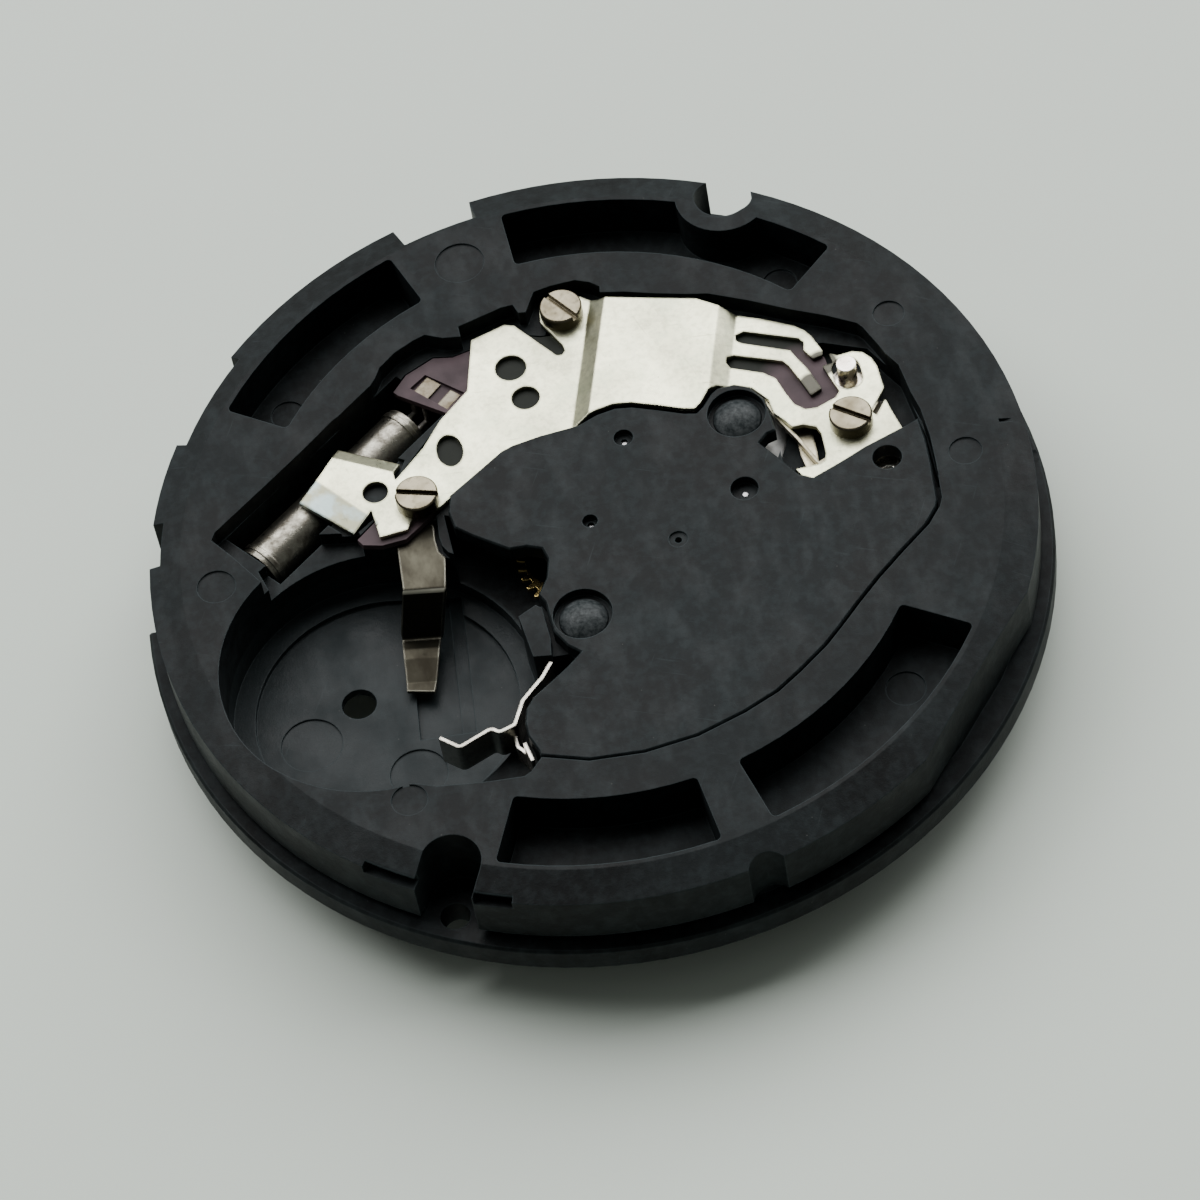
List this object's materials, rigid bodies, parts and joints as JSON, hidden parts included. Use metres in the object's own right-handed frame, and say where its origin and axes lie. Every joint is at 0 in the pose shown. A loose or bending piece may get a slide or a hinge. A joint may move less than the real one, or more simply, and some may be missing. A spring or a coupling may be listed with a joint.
{
  "type": "quartz watch movement",
  "caption": "Round quartz watch movement in its moulded holder ring, with battery well, crystal can, step motor, wheel train, hand fittings and keyless works.",
  "frame": {"origin": "centre of the movement, where the hand axis crosses the plane of the dial seat", "axes": "+Z towards the train side (the back of the watch), -Z towards the dial and the hands, +X out along the winding stem, towards 3 o'clock"},
  "size_m": [0.026, 0.026, 0.0046],
  "materials": {
    "plate_plastic": "black moulded plastic, satin, faintly mottled",
    "bridge_plastic": "black moulded plastic, satin",
    "sheet_nickel": "nickel-plated sheet, cream-silver, fine grain",
    "screw_nickel": "nickel-plated turned steel, warm",
    "insert_brass": "turned brass",
    "can_metal": "drawn nickel-silver, dull, bright rims",
    "lead_wire": "tinned wire",
    "board_laminate": "mauve printed circuit laminate",
    "pad_gold": "gold-plated copper",
    "chip_epoxy": "black moulded epoxy",
    "contact_nickel": "nickel-plated spring strip",
    "stator_iron": "annealed soft iron",
    "coil_copper": "enamelled copper wire",
    "former_plastic": "dark moulded plastic",
    "wheel_brass": "brass, circular grain",
    "arbor_steel": "turned and polished steel",
    "magnet_dark": "sintered magnet",
    "lever_steel": "nickel-plated stamped steel",
    "keeper_steel": "nickel-plated sheet"
  },
  "bodies": {
    "movement": {"main_plate": "plate_plastic", "train_bridge": "bridge_plastic", "maintaining_plate": "sheet_nickel", "plate_screws": "screw_nickel", "threaded_inserts": "insert_brass", "crystal_can": "can_metal", "crystal_leads": "lead_wire", "circuit_board": "board_laminate", "board_pads": "pad_gold", "chip": "chip_epoxy", "negative_contact": "contact_nickel", "positive_contact": "contact_nickel", "stator": "stator_iron", "coil_core": "stator_iron", "coil_former": "former_plastic", "coil_winding": "coil_copper", "centre_tube": "insert_brass", "yoke_spring": "lever_steel", "keeper_plate": "keeper_steel", "keeper_screws": "screw_nickel"},
    "rotor": {"rotor_magnet": "magnet_dark", "rotor_arbor": "arbor_steel"},
    "step_gear": {"step_wheel": "wheel_brass", "step_arbor": "arbor_steel"},
    "second_gear": {"second_wheel": "wheel_brass", "second_arbor": "arbor_steel"},
    "third_gear": {"third_wheel": "wheel_brass", "third_arbor": "arbor_steel"},
    "minute_drive": {"driving_wheel": "wheel_brass", "cannon_pinion": "arbor_steel"},
    "minute_gear": {"minute_wheel": "wheel_brass"},
    "hour_gear": {"hour_wheel": "wheel_brass"},
    "setting_gear": {"setting_wheel": "arbor_steel"},
    "lever": {"setting_lever": "lever_steel"},
    "yoke_arm": {"yoke": "lever_steel"},
    "clutch": {"clutch_pinion": "arbor_steel"}
  },
  "joints": [
    {"name": "second_spin", "type": "hinge", "parent": "movement", "child": "second_gear", "pos_m": [0, 0, 0.001], "axis": [0, 0, 1], "continuous": true},
    {"name": "rotor_spin", "type": "hinge", "parent": "movement", "child": "rotor", "pos_m": [0.00445, -0.00017, 0.001], "axis": [0, 0, 1], "continuous": true},
    {"name": "step_spin", "type": "hinge", "parent": "movement", "child": "step_gear", "pos_m": [0.00226, -0.00134, 0.001], "axis": [0, 0, 1], "continuous": true},
    {"name": "third_spin", "type": "hinge", "parent": "movement", "child": "third_gear", "pos_m": [0.00154, 0.00259, 0.001], "axis": [0, 0, 1], "continuous": true},
    {"name": "minute_spin", "type": "hinge", "parent": "movement", "child": "minute_drive", "pos_m": [0, 0, 0.001], "axis": [0, 0, 1], "continuous": true},
    {"name": "minute_gear_spin", "type": "hinge", "parent": "movement", "child": "minute_gear", "pos_m": [0.00181, -0.0024, 0.001], "axis": [0, 0, 1], "continuous": true},
    {"name": "hour_spin", "type": "hinge", "parent": "movement", "child": "hour_gear", "pos_m": [0, 0, 0.001], "axis": [0, 0, 1], "continuous": true},
    {"name": "setting_spin", "type": "hinge", "parent": "movement", "child": "setting_gear", "pos_m": [0.00436, 0, 0.001], "axis": [0, 0, 1], "continuous": true},
    {"name": "lever_turn", "type": "hinge", "parent": "movement", "child": "lever", "pos_m": [0.00823, 0.0032, 0.002], "axis": [0, 0, 1], "range_deg": [0, 12]},
    {"name": "yoke_turn", "type": "hinge", "parent": "movement", "child": "yoke_arm", "pos_m": [0.00665, 0.00395, 0.002], "axis": [0, 0, 1], "range_deg": [-5, 0]},
    {"name": "clutch_slide", "type": "slide", "parent": "movement", "child": "clutch", "axis": [1, 0, 0], "range_m": [-0.00035, 0]}
  ],
  "couplings": [
    {"joint": "rotor_spin", "follows": "second_spin", "ratio": 30},
    {"joint": "step_spin", "follows": "second_spin", "ratio": -5},
    {"joint": "third_spin", "follows": "second_spin", "ratio": -0.13333},
    {"joint": "minute_spin", "follows": "second_spin", "ratio": 0.016667},
    {"joint": "minute_gear_spin", "follows": "second_spin", "ratio": -0.0055556},
    {"joint": "hour_spin", "follows": "second_spin", "ratio": 0.0013889},
    {"joint": "setting_spin", "follows": "second_spin", "ratio": 0.01},
    {"joint": "lever_turn", "follows": "clutch_slide", "rad_per_m": -598},
    {"joint": "yoke_turn", "follows": "clutch_slide", "rad_per_m": 249}
  ]
}
